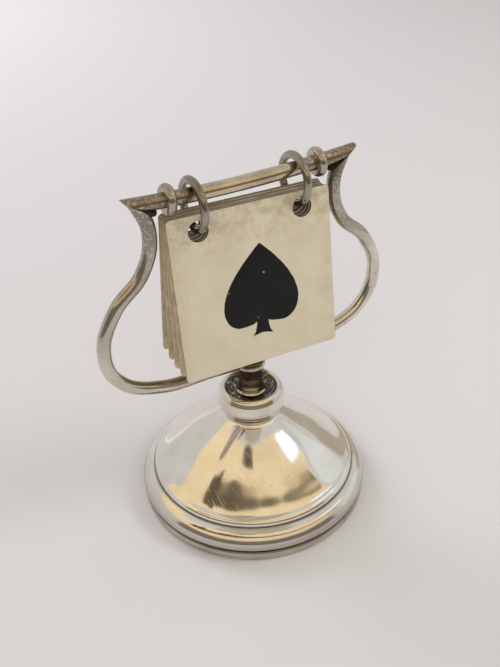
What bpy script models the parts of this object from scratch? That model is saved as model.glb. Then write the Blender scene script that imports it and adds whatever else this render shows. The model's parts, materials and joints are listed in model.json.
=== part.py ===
"""Silver table card stand: a lyre of wire on a turned, weighted base, with a pack of
loose leaves that hang on two rings and turn over a bar.

Metres, +Z up. The base stands on z = 0, the bar runs along X and the front is -Y.
Sizes below are in millimetres and are multiplied by MM where they are used.
"""

import math

import bmesh
import bpy
from mathutils import Matrix, Vector

MM = 0.001

# Clearance left between pieces that touch on the real object
GAP = 0.3

# Base: one turned sheet over a cast loading, closed by a plate with a baize pad
SHEET = 0.7
SEAM_Z = 2.9
PLATE_TOP_Z = SEAM_Z - GAP
PLATE_RADIUS = 27.5
FOOT_RADIUS = 26.9
PAD_RECESS_RADIUS = 24.2
PAD_RECESS_DEPTH = 1.0
PAD_LIFT = 0.2
WALL_PROFILE = [(27.5, 2.9), (27.65, 4.3), (27.3, 6.0), (26.5, 7.3), (25.6, 7.75)]
STEP_PROFILE = [(25.0, 7.9), (24.65, 8.35), (24.55, 9.1), (24.3, 9.7), (23.8, 10.15)]
DOME_PROFILE = [(22.0, 11.5), (19.0, 13.6), (15.5, 15.9), (11.5, 18.4), (8.4, 20.4), (6.9, 21.7)]
DOME_TOP = (6.2, 22.1)
LOADING_PROFILE = [
    (26.2, 3.0), (26.2, 5.3), (25.0, 6.5), (23.4, 7.0), (23.2, 8.6), (20.6, 10.9),
    (17.0, 13.4), (12.6, 16.2), (8.6, 18.8), (5.4, 20.4),
]

# Stem: collar, knop and neck threaded on a rod that a nut pulls down from below
ROD_RADIUS = 1.5
BORE_RADIUS = ROD_RADIUS + GAP
ROD_BOTTOM_Z = 3.2
NUT_FLATS = 5.2
NUT_HEIGHT = 2.0
NUT_POCKET_RADIUS = 3.5
NUT_POCKET_TOP_Z = 5.9
COLLAR_Z = DOME_TOP[1] + GAP
COLLAR_HEIGHT = 0.9
COLLAR_RADIUS = 6.9
KNOP_Z = COLLAR_Z + COLLAR_HEIGHT + GAP
KNOP_PROFILE = [
    (6.5, 0.0), (7.45, 0.9), (8.0, 2.6), (8.0, 4.3), (7.5, 6.1), (6.6, 7.4), (6.0, 7.8), (5.4, 7.6),
]
KNOP_DISH = (4.9, 7.2)
NECK_Z = KNOP_Z + KNOP_DISH[1] + GAP
NECK_PROFILE = [(4.5, 0.0), (4.0, 0.7), (3.35, 1.6), (3.1, 2.8), (3.3, 4.2), (3.5, 5.3)]
NECK_BORE_DEPTH = 2.7

# Lyre: one round wire; the points run from beyond the right tip down to the saddle
WIRE_RADIUS = 1.5
LYRE_HALF = [
    (25.8, 85.0), (23.3, 81.1), (21.5, 75.0), (23.7, 67.2), (30.6, 60.0), (33.9, 51.0),
    (31.2, 42.8), (22.5, 38.1), (10.0, 37.3),
]
LYRE_SADDLE_Z = 37.1

# Bar: bowed a little, mitred to the lyre at both ends
BAR_RADIUS = 1.55
BAR_MIDDLE_Z = 80.8
BAR_BOW = 0.75
BAR_BOW_SPAN = 22.0
BAR_HALF_LENGTH = 27.8
MITRE_CENTRE = (23.3, 81.2)
MITRE_ANGLE = math.radians(31)
MITRE_BLOCK = 12.0

# Stop collars on the bar
STOP_X = 17.1
STOP_HALF_WIDTH = 1.0
STOP_PROFILE = [(2.45, 1.0), (2.95, 0.75), (3.2, 0.0), (2.95, -0.75), (2.45, -1.0)]

# Rings and leaves
RING_X = 11.7
RING_RADIUS = 5.0
RING_WIRE_RADIUS = 0.9
LEAF_WIDTH = 36.5
LEAF_HEIGHT = 36.2
LEAF_THICKNESS = 0.55
LEAF_CORNER = 0.9
HOLE_RADIUS = 2.1
HOLE_FROM_TOP = 3.5
HOLE_DROP = 0.55
LEAF_PITCH = 1.05
LEAF_FAN = math.radians(4.3)
PACK_YAW = math.radians(-3.5)
LEAF_NAMES = ["leaf_1_spade", "leaf_2_heart", "leaf_3_diamond", "leaf_4_club", "leaf_5_no_trump"]


def bar_height(x):
    """Height of the bar's axis above the table, in millimetres."""
    return BAR_MIDDLE_Z + BAR_BOW * (x / BAR_BOW_SPAN) ** 2


BAR_AXIS_Z = bar_height(RING_X)
RING_Z = BAR_AXIS_Z - (RING_RADIUS - RING_WIRE_RADIUS - BAR_RADIUS) + GAP


def clear_scene():
    for item in list(bpy.data.objects):
        bpy.data.objects.remove(item, do_unlink=True)


def new_collection(name):
    collection = bpy.data.collections.new(name)
    bpy.context.scene.collection.children.link(collection)
    return collection


def linear(channel):
    return channel / 12.92 if channel <= 0.04045 else ((channel + 0.055) / 1.055) ** 2.4


def make_material(name, hex_colour, roughness, metallic):
    material = bpy.data.materials.new(name)
    material.use_nodes = True
    shader = material.node_tree.nodes["Principled BSDF"]
    channels = [int(hex_colour[i:i + 2], 16) / 255 for i in (1, 3, 5)]
    shader.inputs["Base Color"].default_value = [linear(c) for c in channels] + [1.0]
    shader.inputs["Roughness"].default_value = roughness
    shader.inputs["Metallic"].default_value = metallic
    return material


def add_object(name, data, material):
    item = bpy.data.objects.new(name, data)
    PARTS.objects.link(item)
    data.materials.clear()
    data.materials.append(material)
    return item


def smooth_line(points, steps):
    """A Catmull-Rom curve through the points, with the given steps in each span."""
    ends = [points[0]] + list(points) + [points[-1]]
    line = []
    for i in range(1, len(ends) - 2):
        a, b, c, d = (Vector(ends[i + k]) for k in (-1, 0, 1, 2))
        for step in range(steps):
            t = step / steps
            line.append(0.5 * (2 * b + (c - a) * t + (2 * a - 5 * b + 4 * c - d) * t ** 2
                               + (3 * b - a - 3 * c + d) * t ** 3))
    return [tuple(p) for p in line] + [tuple(points[-1])]


def clockwise(profile):
    """The profile, reversed if need be, so that the turned faces point outwards."""
    pairs = zip(profile, profile[1:] + profile[:1])
    area = sum(r1 * z2 - r2 * z1 for (r1, z1), (r2, z2) in pairs)
    return profile[::-1] if area > 0 else profile


def turned(name, profile, material, steps, closed=True):
    """A solid or sheet turned round Z from (radius, height) points."""
    profile = clockwise(profile)
    mesh = bpy.data.meshes.new(name)
    edges = [(i, i + 1) for i in range(len(profile) - 1)]
    if closed:
        edges.append((len(profile) - 1, 0))
    mesh.from_pydata([(r * MM, 0, z * MM) for r, z in profile], edges, [])
    item = add_object(name, mesh, material)
    screw = item.modifiers.new("turn", "SCREW")
    screw.steps = steps
    screw.render_steps = steps
    screw.use_merge_vertices = True
    screw.merge_threshold = 0.00001
    return item


def tube(name, points, radius, material, spline_type, resolution, sides):
    """A round wire through points in the XZ plane."""
    curve = bpy.data.curves.new(name, "CURVE")
    curve.dimensions = "3D"
    curve.bevel_depth = radius * MM
    curve.bevel_resolution = sides
    curve.resolution_u = resolution
    curve.use_fill_caps = True
    spline = curve.splines.new(spline_type)
    if spline_type == "BEZIER":
        spline.bezier_points.add(len(points) - 1)
        for knot, (x, z) in zip(spline.bezier_points, points):
            knot.co = (x * MM, 0, z * MM)
            knot.handle_left_type = "AUTO"
            knot.handle_right_type = "AUTO"
    else:
        spline.points.add(len(points) - 1)
        for knot, (x, z) in zip(spline.points, points):
            knot.co = (x * MM, 0, z * MM, 1)
    return add_object(name, curve, material)


def as_mesh(item, collection):
    """Replace a curve object by a closed mesh object of the same name and place."""
    bpy.context.view_layer.update()
    name = item.name
    evaluated = item.evaluated_get(bpy.context.evaluated_depsgraph_get())
    mesh = bpy.data.meshes.new_from_object(evaluated)
    shape = bmesh.new()
    shape.from_mesh(mesh)
    bmesh.ops.remove_doubles(shape, verts=shape.verts, dist=0.000001)
    bmesh.ops.recalc_face_normals(shape, faces=shape.faces)
    shape.to_mesh(mesh)
    shape.free()
    place = item.matrix_world.copy()
    bpy.data.objects.remove(item, do_unlink=True)
    result = bpy.data.objects.new(name, mesh)
    result.matrix_world = place
    collection.objects.link(result)
    return result


def cut(item, cutter):
    cutter.hide_render = True
    cutter.display_type = "WIRE"
    boolean = item.modifiers.new("cut " + cutter.name, "BOOLEAN")
    boolean.operation = "DIFFERENCE"
    boolean.solver = "EXACT"
    boolean.object = cutter


def empty(name, height, rotation=(0, 0, 0), parent=None):
    """An axis through x = y = 0 at the given height in millimetres."""
    item = bpy.data.objects.new(name, None)
    PARTS.objects.link(item)
    item.location = (0, 0, height * MM)
    item.rotation_euler = rotation
    item.parent = parent
    return item


def build_base():
    plate = [
        (0, PAD_RECESS_DEPTH), (PAD_RECESS_RADIUS, PAD_RECESS_DEPTH), (PAD_RECESS_RADIUS, 0),
        (FOOT_RADIUS, 0), (FOOT_RADIUS + 0.4, 0.3), (PLATE_RADIUS, 0.9),
        (PLATE_RADIUS, PLATE_TOP_Z - 0.4), (PLATE_RADIUS - 0.3, PLATE_TOP_Z), (0, PLATE_TOP_Z),
    ]
    turned("base_plate", plate, SILVER, 48, closed=False)
    pad_radius = PAD_RECESS_RADIUS - GAP
    pad_top = PAD_RECESS_DEPTH - GAP
    pad = [(0, PAD_LIFT), (pad_radius, PAD_LIFT), (pad_radius, pad_top), (0, pad_top)]
    turned("base_baize", pad, BAIZE, 40, closed=False)
    outline = smooth_line(WALL_PROFILE, 2) + smooth_line(STEP_PROFILE, 1)
    outline += smooth_line(DOME_PROFILE, 1) + [DOME_TOP, (BORE_RADIUS, DOME_TOP[1])]
    shell = turned("base_shell", outline, SILVER, 48, closed=False)
    sheet = shell.modifiers.new("sheet", "SOLIDIFY")
    sheet.thickness = SHEET * MM
    sheet.offset = -1.0
    loading = LOADING_PROFILE + [
        (BORE_RADIUS, LOADING_PROFILE[-1][1]), (BORE_RADIUS, NUT_POCKET_TOP_Z),
        (NUT_POCKET_RADIUS, NUT_POCKET_TOP_Z), (NUT_POCKET_RADIUS, LOADING_PROFILE[0][1]),
    ]
    turned("base_loading", loading, PITCH, 40)


def build_stem():
    middle = COLLAR_HEIGHT / 2
    collar = [
        (BORE_RADIUS, 0), (COLLAR_RADIUS - 0.35, 0), (COLLAR_RADIUS, middle),
        (COLLAR_RADIUS - 0.35, COLLAR_HEIGHT), (BORE_RADIUS, COLLAR_HEIGHT),
    ]
    turned("knop_collar", collar, SILVER, 40).location.z = COLLAR_Z * MM
    knop = smooth_line(KNOP_PROFILE, 2) + [KNOP_DISH, (BORE_RADIUS, KNOP_DISH[1]), (BORE_RADIUS, 0)]
    turned("knop", knop, SILVER, 40).location.z = KNOP_Z * MM
    neck_top = NECK_PROFILE[-1][1]
    bore = [(0, neck_top), (0, NECK_BORE_DEPTH), (BORE_RADIUS, NECK_BORE_DEPTH), (BORE_RADIUS, 0)]
    neck = turned("neck", bore + smooth_line(NECK_PROFILE, 2) + [(0, neck_top)], SILVER, 32, closed=False)
    neck.location.z = NECK_Z * MM
    rod_top = NECK_Z + NECK_BORE_DEPTH - GAP
    bpy.ops.mesh.primitive_cylinder_add(vertices=24, radius=ROD_RADIUS * MM, depth=(rod_top - ROD_BOTTOM_Z) * MM)
    adopt("stem_rod", STEEL).location.z = (rod_top + ROD_BOTTOM_Z) / 2 * MM
    nut_radius = NUT_FLATS / math.sqrt(3)
    nut_z = NUT_POCKET_TOP_Z - GAP - NUT_HEIGHT / 2
    bpy.ops.mesh.primitive_cylinder_add(vertices=6, radius=nut_radius * MM, depth=NUT_HEIGHT * MM)
    nut = adopt("stem_nut", STEEL)
    nut.location.z = nut_z * MM
    bpy.ops.mesh.primitive_cylinder_add(vertices=24, radius=BORE_RADIUS * MM, depth=3 * NUT_HEIGHT * MM)
    bore_cutter = adopt("nut_bore_cutter", None)
    bore_cutter.location.z = nut_z * MM
    cut(nut, bore_cutter)
    return neck


def adopt(name, material):
    """Name the primitive just added and file it with the parts, or with the cutters if it has no material."""
    item = bpy.context.object
    item.name = name
    item.data.name = name
    for collection in list(item.users_collection):
        collection.objects.unlink(item)
    if material is None:
        CUTTERS.objects.link(item)
    else:
        PARTS.objects.link(item)
        item.data.materials.append(material)
    return item


def mitre_block(name, side, up):
    """A block whose face lies on the mitre plane, half a gap into the piece it trims."""
    bpy.ops.mesh.primitive_cube_add(size=MITRE_BLOCK * MM)
    block = adopt(name, None)
    turn = Matrix.Rotation(-side * MITRE_ANGLE, 4, "Y")
    centre = Vector((side * MITRE_CENTRE[0], 0, MITRE_CENTRE[1])) * MM
    reach = up * (MITRE_BLOCK - GAP) / 2 * MM
    block.matrix_world = Matrix.Translation(centre) @ turn @ Matrix.Translation((0, 0, reach))
    return block


def build_lyre(neck):
    right = list(LYRE_HALF)
    left = [(-x, z) for x, z in reversed(right)]
    path = right + [(0, LYRE_SADDLE_Z)] + left
    wire = as_mesh(tube("lyre_wire", path, WIRE_RADIUS, SILVER, "BEZIER", 4, 3), PARTS)
    xs = [BAR_HALF_LENGTH * (i / 8 - 1) for i in range(17)]
    bar_path = [(x, bar_height(x)) for x in xs]
    bar = as_mesh(tube("crossbar", bar_path, BAR_RADIUS, SILVER, "POLY", 1, 3), PARTS)
    for side, word in ((-1, "left"), (1, "right")):
        cut(wire, mitre_block(word + "_wire_mitre_cutter", side, 1))
        cut(bar, mitre_block(word + "_bar_mitre_cutter", side, -1))
    saddle_path = [(side * 8.0, LYRE_SADDLE_Z) for side in (-1, 1)]
    saddle = tube("saddle_cutter", saddle_path, WIRE_RADIUS + GAP, SILVER, "POLY", 1, 4)
    cut(neck, as_mesh(saddle, CUTTERS))


def build_stop_collars():
    bore = BAR_RADIUS + GAP
    profile = [(bore, STOP_HALF_WIDTH)] + smooth_line(STOP_PROFILE, 2) + [(bore, -STOP_HALF_WIDTH)]
    for side, word in ((-1, "left"), (1, "right")):
        collar = turned(word + "_stop_collar", profile, SILVER, 28)
        slope = math.atan(2 * BAR_BOW * side * STOP_X / BAR_BOW_SPAN ** 2)
        collar.location = Vector((side * STOP_X, 0, bar_height(STOP_X))) * MM
        collar.rotation_euler = (0, math.pi / 2 - slope, 0)


def build_rings(bar_axis):
    for side, word in ((-1, "left"), (1, "right")):
        bpy.ops.mesh.primitive_torus_add(
            major_segments=36, minor_segments=10, major_radius=RING_RADIUS * MM, minor_radius=RING_WIRE_RADIUS * MM)
        ring = adopt(word + "_ring", RING_SILVER)
        ring.parent = bar_axis
        ring.location = Vector((side * RING_X, 0, RING_Z - BAR_AXIS_Z)) * MM
        ring.rotation_euler = (0, math.pi / 2, 0)


def leaf_outline(top):
    """Corner arcs of a leaf whose top edge is at the given local height, anticlockwise."""
    points = []
    x = LEAF_WIDTH / 2 - LEAF_CORNER
    y_high = top - LEAF_CORNER
    y_low = top - LEAF_HEIGHT + LEAF_CORNER
    for quarter, (cx, cy) in enumerate([(x, y_high), (-x, y_high), (-x, y_low), (x, y_low)]):
        for step in range(4):
            angle = math.pi / 2 * (quarter + step / 3)
            points.append((cx + LEAF_CORNER * math.cos(angle), cy + LEAF_CORNER * math.sin(angle)))
    return points


def hole_outline(x, y):
    angles = [math.tau * i / 24 for i in range(24)]
    return [(x + HOLE_RADIUS * math.cos(a), y + HOLE_RADIUS * math.sin(a)) for a in angles]


def build_leaves(bar_axis):
    """Leaves fanned about the middle one, on axes through the ring centres, and hung a little askew."""
    count = len(LEAF_NAMES)
    for number, name in enumerate(LEAF_NAMES):
        forward = (count - 1) / 2 - number
        tilt = forward * LEAF_FAN
        ring_angle = math.asin(forward * LEAF_PITCH / RING_RADIUS)
        lean = ring_angle - tilt
        hole_y = -RING_RADIUS * math.cos(lean) - HOLE_DROP
        axis = empty(name + "_axis", RING_Z - BAR_AXIS_Z, (math.pi / 2 - tilt, 0, PACK_YAW), bar_axis)
        curve = bpy.data.curves.new(name, "CURVE")
        curve.dimensions = "2D"
        curve.fill_mode = "BOTH"
        curve.extrude = LEAF_THICKNESS / 2 * MM
        outlines = [leaf_outline(hole_y + HOLE_FROM_TOP), hole_outline(-RING_X, hole_y), hole_outline(RING_X, hole_y)]
        for outline in outlines:
            spline = curve.splines.new("POLY")
            spline.points.add(len(outline) - 1)
            spline.use_cyclic_u = True
            for knot, (x, y) in zip(spline.points, outline):
                knot.co = (x * MM, y * MM, 0, 1)
        leaf = add_object(name, curve, IVORY)
        leaf.parent = axis
        leaf.location.z = RING_RADIUS * math.sin(lean) * MM


clear_scene()
PARTS = new_collection("table_card_stand")
CUTTERS = new_collection("cutters")
SILVER = make_material("polished_silver", "#D9D2C6", 0.14, 1.0)
RING_SILVER = make_material("dulled_silver_wire", "#8E867A", 0.32, 1.0)
IVORY = make_material("cream_celluloid_sheet", "#CDC0A4", 0.45, 0.0)
BAIZE = make_material("green_baize", "#2F4A36", 0.95, 0.0)
PITCH = make_material("cast_pitch_loading", "#3A332C", 0.8, 0.0)
STEEL = make_material("drawn_steel_rod", "#8C8C8A", 0.35, 1.0)

build_base()
NECK = build_stem()
build_lyre(NECK)
build_stop_collars()
BAR_AXIS = empty("bar_axis", BAR_AXIS_Z)
build_rings(BAR_AXIS)
build_leaves(BAR_AXIS)
bpy.context.view_layer.update()
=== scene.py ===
# %% [markdown]
# A silver trump marker for the card table. A lyre of wire stands on a turned, weighted base
# and carries a bar. Two rings hang on the bar, and five cream leaves hang on the rings, each
# printed with one suit or with all four. The construction, the joints and the sizes come from
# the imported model. This lesson makes what the eye sees: smooth turned silver, drawn wire,
# solder, printed celluloid, and a pale table to stand on.

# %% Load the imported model
import json
import math

import bmesh
import bpy
from mathutils import Matrix, Vector, noise

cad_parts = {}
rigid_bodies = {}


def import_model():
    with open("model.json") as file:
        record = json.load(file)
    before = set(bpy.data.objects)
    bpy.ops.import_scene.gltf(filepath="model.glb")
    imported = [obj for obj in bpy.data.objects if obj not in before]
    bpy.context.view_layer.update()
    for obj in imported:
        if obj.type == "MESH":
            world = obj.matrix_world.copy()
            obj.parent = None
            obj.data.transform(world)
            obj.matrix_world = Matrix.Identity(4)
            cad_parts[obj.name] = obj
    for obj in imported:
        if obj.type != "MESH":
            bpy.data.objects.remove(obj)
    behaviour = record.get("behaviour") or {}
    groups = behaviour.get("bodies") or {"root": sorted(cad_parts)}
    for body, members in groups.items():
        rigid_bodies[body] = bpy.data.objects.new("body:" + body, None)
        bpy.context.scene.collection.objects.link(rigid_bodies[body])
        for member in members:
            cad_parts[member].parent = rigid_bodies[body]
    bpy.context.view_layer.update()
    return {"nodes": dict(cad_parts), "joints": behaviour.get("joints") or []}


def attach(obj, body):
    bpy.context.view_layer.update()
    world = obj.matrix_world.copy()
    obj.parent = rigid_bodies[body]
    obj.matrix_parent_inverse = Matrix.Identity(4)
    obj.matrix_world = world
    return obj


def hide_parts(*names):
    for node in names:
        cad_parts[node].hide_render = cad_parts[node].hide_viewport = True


for item in list(bpy.data.objects):
    bpy.data.objects.remove(item, do_unlink=True)

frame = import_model()
MM = 0.001

# %% [markdown]
# A few small helpers serve every material and every node tree. Colours are written as the sRGB
# hex values a painter would pick, and one function turns them to the linear values that light
# is mixed in. One function adds a node: it links an input when the value is a socket, sets it
# when the value is plain, and gives back the node's outputs. Noise seldom leaves the middle of
# its range, so most patterns stretch one of a few bands there.

# %% Colour and node helpers
NOISE_BAND = (0.3, 0.7)
NARROW_BAND = (0.35, 0.65)
CLOUD_BAND = (0.35, 0.7)
CLOUD_DETAIL = 5.0
FINE_DETAIL = 6.0


def rgba(hex_colour):
    channels = [int(hex_colour[i:i + 2], 16) / 255 for i in (1, 3, 5)]
    return [c / 12.92 if c <= 0.04045 else ((c + 0.055) / 1.055) ** 2.4 for c in channels] + [1.0]


def per_mm(size_mm):
    """Texture scale that gives features of this size, because coordinates are in metres."""
    return 1 / (size_mm * MM)


def add_node(tree, kind, inputs=None, **settings):
    node = tree.nodes.new(kind)
    for name, value in settings.items():
        setattr(node, name, value)
    for key, value in (inputs or {}).items():
        if isinstance(value, bpy.types.NodeSocket):
            tree.links.new(value, node.inputs[key])
        else:
            node.inputs[key].default_value = value
    return node.outputs


def start_material(name):
    material = bpy.data.materials.new(name)
    material.use_nodes = True
    material.node_tree.nodes.clear()
    return material, material.node_tree


def finish_material(tree, inputs):
    """Give the surface what was worked out for it, and join it to the output."""
    surface = add_node(tree, "ShaderNodeBsdfPrincipled", inputs)["BSDF"]
    add_node(tree, "ShaderNodeOutputMaterial", {"Surface": surface})


print("white is", rgba("#FFFFFF")[:3], "and 1 mm features have scale", per_mm(1))

# %% [markdown]
# Polished silver is a soft white metal that was stamped or turned and then buffed. It is a
# mirror with a little warmth, and a century of handling adds fine scratches, small pits and
# brown stains. Scratches are stretched noise in two directions, pits are the middles of random
# cells, and stains are fine noise that spreads with wear. A real scratch is a few hundredths
# of a millimetre wide. It is drawn coarser here, so that it shows at this size.

# %% Scratches, pits and stains
SCRATCH_WIDTH_MM = 0.16
SCRATCH_LENGTH_MM = 7.0
SCRATCH_TURNS = [(0.3, 0.2, 0.9), (1.2, 0.5, -0.7)]
SCRATCH_BAND = (0.7, 0.78)
PIT_SPACING_MM = 3.4
PIT_EDGE = (0.05, 0.02)
PIT_DARK = 0.3
PIT_WEAR = 0.5
STAIN_BAND = (0.68, 0.8)
STAIN_SPREAD = 0.2
STAIN_DARK = 0.3
STAIN_WEAR = 0.6


def scratches(tree, place):
    """A mask of sparse straight scratches in two directions."""
    stretch = (per_mm(SCRATCH_WIDTH_MM), per_mm(SCRATCH_LENGTH_MM), per_mm(SCRATCH_LENGTH_MM))
    mask = 0.0
    for turn in SCRATCH_TURNS:
        along = add_node(tree, "ShaderNodeMapping", {
            "Vector": place, "Rotation": turn, "Scale": stretch})[0]
        lines = add_node(tree, "ShaderNodeTexNoise", {"Vector": along, "Scale": 1.0, "Detail": 1.0})[0]
        sharp = add_node(tree, "ShaderNodeMapRange", {0: lines, 1: SCRATCH_BAND[0], 2: SCRATCH_BAND[1]})[0]
        mask = add_node(tree, "ShaderNodeMath", {0: sharp, 1: mask}, operation="MAXIMUM")[0]
    return mask


def spots(tree, place, fine, wear):
    """Masks of small pits and of brown stains, both stronger with wear."""
    cells = add_node(tree, "ShaderNodeTexVoronoi", {"Vector": place, "Scale": per_mm(PIT_SPACING_MM)})
    pits = add_node(tree, "ShaderNodeMapRange", {
        0: cells["Distance"], 1: PIT_EDGE[0], 2: PIT_EDGE[1], 4: PIT_DARK + PIT_WEAR * wear})[0]
    stains = add_node(tree, "ShaderNodeMapRange", {
        0: fine, 1: STAIN_BAND[0] - STAIN_SPREAD * wear, 2: STAIN_BAND[1] - STAIN_SPREAD * wear,
        4: STAIN_DARK + STAIN_WEAR * wear})[0]
    return [pits, stains]


print("scratches", SCRATCH_WIDTH_MM, "mm wide, pits every", PIT_SPACING_MM, "mm")

# %% [markdown]
# A cloth can't reach everywhere. The grooves between the turned pieces are darkened as painted
# shade in the gaps, with some tarnish, and the dish on top of the knop as a painted dark reflection
# and shade under the leaves. Fingers leave grime towards the ends of the wire, and the base's lower
# wall is darkened towards the bottom as painted shade. Masks could be painted by hand, but here each
# follows a height, a radius or a distance, so it stays true when a size changes.

# %% Tarnish and grime
GROOVE_HALF_MM = 0.42
# How dark a groove gets, as painted shade with some tarnish.
GROOVE_SHADE_AND_TARNISH = 0.95
DISH_EDGE_MM = 0.4
# How dark the knop's dish gets, as a painted dark reflection and shade.
DISH_PAINTED_SHADE = 0.93
DISH_PATCH_BAND = (0.72, 0.5)
DISH_PATCH_LEAST = 0.25
PATCH_SOFTNESS = 0.14


def groove_shade_and_tarnish(tree, height, middle):
    """A mask of the dark line at one height: painted shade in the gaps and creases, with tarnish."""
    offset = add_node(tree, "ShaderNodeMath", {0: height, 1: middle * MM}, operation="SUBTRACT")[0]
    away = add_node(tree, "ShaderNodeMath", {0: offset}, operation="ABSOLUTE")[0]
    return add_node(tree, "ShaderNodeMapRange", {
        0: away, 1: GROOVE_HALF_MM * MM, 2: 0.0, 4: GROOVE_SHADE_AND_TARNISH})[0]


def bowl(tree, place, height, fine, edge, floor):
    """A mask of painted dark reflection and shade inside an edge radius and above a floor height, in patches.
    """
    level = add_node(tree, "ShaderNodeVectorMath", {0: place, 1: (1, 1, 0)}, operation="MULTIPLY")[0]
    radius = add_node(tree, "ShaderNodeVectorMath", {0: level}, operation="LENGTH")["Value"]
    mask = add_node(tree, "ShaderNodeMapRange", {
        0: radius, 1: edge * MM, 2: (edge - DISH_EDGE_MM) * MM, 4: DISH_PAINTED_SHADE})[0]
    above = add_node(tree, "ShaderNodeMath", {0: height, 1: floor * MM}, operation="GREATER_THAN")[0]
    dish_patches = add_node(tree, "ShaderNodeMapRange", {
        0: fine, 1: DISH_PATCH_BAND[0], 2: DISH_PATCH_BAND[1], 3: DISH_PATCH_LEAST})[0]
    for share in (above, dish_patches):
        mask = add_node(tree, "ShaderNodeMath", {0: mask, 1: share}, operation="MULTIPLY")[0]
    return mask


def grime_and_shade_along(tree, axes, fine, axis, start, end, amount, spread):
    """A mask of patchy darkening that grows from start to end along one axis. It is grime on the wire
    and the bar, and painted shade on the base's lower wall.
    """
    reach = add_node(tree, "ShaderNodeMath", {0: axes[axis]}, operation="ABSOLUTE")[0]
    far = add_node(tree, "ShaderNodeMapRange", {0: reach, 1: start * MM, 2: end * MM, 4: amount})[0]
    patchy = add_node(tree, "ShaderNodeMapRange", {
        0: fine, 1: spread - PATCH_SOFTNESS, 2: spread + PATCH_SOFTNESS})[0]
    return add_node(tree, "ShaderNodeMath", {0: far, 1: patchy}, operation="MULTIPLY")[0]


print("grooves are dark", GROOVE_HALF_MM, "mm to each side")

# %% [markdown]
# One recipe makes all the silver. A pale colour and a slightly deeper one are mixed in large
# clouds, and a dark brown lies over both, which is tarnish and also painted shade in the grooves,
# the dish and the lower wall. The mirror is a low roughness, which scratches and the dark places
# raise, and a very small bump sinks them into the surface.

# %% Silver recipe
CLOUD_MM = 9.0
STAIN_MM = 0.6
# This brown is tarnish in pits and stains, and painted shade in the grooves, the dish and the lower wall.
TARNISH_AND_SHADE = "#352B22"
POLISH_BAND = (0.3, 0.75)
POLISH_LOSS = 0.07
WEAR_ROUGHNESS = 0.1
SCRATCH_ROUGHNESS = 0.12
DARK_ROUGHNESS = 0.3
DARK_DEPTH = 2.0
MARK_STRENGTH = 0.12
MARK_DEPTH_MM = 0.03


def silver(name, pale, shade, gloss, wear, grooves=(), dish=None, grime_and_shade=None):
    material, tree = start_material(name)
    place = add_node(tree, "ShaderNodeTexCoord")["Object"]
    cloud = add_node(tree, "ShaderNodeTexNoise", {
        "Vector": place, "Scale": per_mm(CLOUD_MM), "Detail": CLOUD_DETAIL})[0]
    fine = add_node(tree, "ShaderNodeTexNoise", {
        "Vector": place, "Scale": per_mm(STAIN_MM), "Detail": FINE_DETAIL})[0]
    axes = add_node(tree, "ShaderNodeSeparateXYZ", {0: place})
    marks = scratches(tree, place)
    masks = spots(tree, place, fine, wear)
    # The groove, dish and lower-wall masks are painted shade; pits, stains and the wire and bar grime are
    # wear.
    masks += [groove_shade_and_tarnish(tree, axes["Z"], middle) for middle in grooves]
    if dish:
        masks.append(bowl(tree, place, axes["Z"], fine, **dish))
    if grime_and_shade:
        masks.append(grime_and_shade_along(tree, axes, fine, **grime_and_shade))
    dark = masks[0]
    for mask in masks[1:]:
        dark = add_node(tree, "ShaderNodeMath", {0: dark, 1: mask}, operation="MAXIMUM")[0]
    cloudy = add_node(tree, "ShaderNodeMapRange", {0: cloud, 1: CLOUD_BAND[0], 2: CLOUD_BAND[1]})[0]
    tone = rgba(pale)
    for share, colour in ((cloudy, shade), (dark, TARNISH_AND_SHADE)):
        tone = add_node(tree, "ShaderNodeMix", {0: share, 6: tone, 7: rgba(colour)}, data_type="RGBA")[2]
    rough = add_node(tree, "ShaderNodeMapRange", {
        0: cloud, 1: POLISH_BAND[0], 2: POLISH_BAND[1],
        3: gloss, 4: gloss + POLISH_LOSS + WEAR_ROUGHNESS * wear})[0]
    for mask, amount in ((marks, SCRATCH_ROUGHNESS), (dark, DARK_ROUGHNESS)):
        rough = add_node(tree, "ShaderNodeMath", {
            0: mask, 1: amount, 2: rough}, operation="MULTIPLY_ADD")[0]
    depth = add_node(tree, "ShaderNodeMath", {
        0: dark, 1: DARK_DEPTH, 2: marks}, operation="MULTIPLY_ADD")[0]
    bump = add_node(tree, "ShaderNodeBump", {
        "Strength": MARK_STRENGTH, "Distance": MARK_DEPTH_MM * MM, "Height": depth}, invert=True)[0]
    finish_material(tree, {"Base Color": tone, "Roughness": rough, "Normal": bump, "Metallic": 1.0})
    return material


print("silver clouds", CLOUD_MM, "mm, stains", STAIN_MM, "mm")

# %% [markdown]
# The settings of that recipe tell the pieces apart. The base was buffed to a mirror and is
# often wiped, and its seam, creases and lower wall are darkened as painted shade. The knop's dish
# is darkened as a painted dark reflection. The wire is handled, so it is duller and spotted. The
# bar is rubbed bright between the rings and grimy beyond them. Solder was never polished and stays
# dark and rough. Heights and distances are in millimetres.

# %% Silver finishes
# These heights are dark lines: painted shade in the seam, in the shoulder crease and in the gaps at the
# collar and the knop, with some tarnish.
SHELL_EDGE_Z = 2.95
PLATE_EDGE_Z = 2.5
SHOULDER_GROOVE_Z = 7.62
COLLAR_GROOVE_Z = 22.3
KNOP_GROOVE_Z = 23.45
# The knop's dish is painted dark: a painted reflection of the dark leaves above, and their shade.
KNOP_DISH = {"edge": 6.35, "floor": 28.3}
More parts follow.
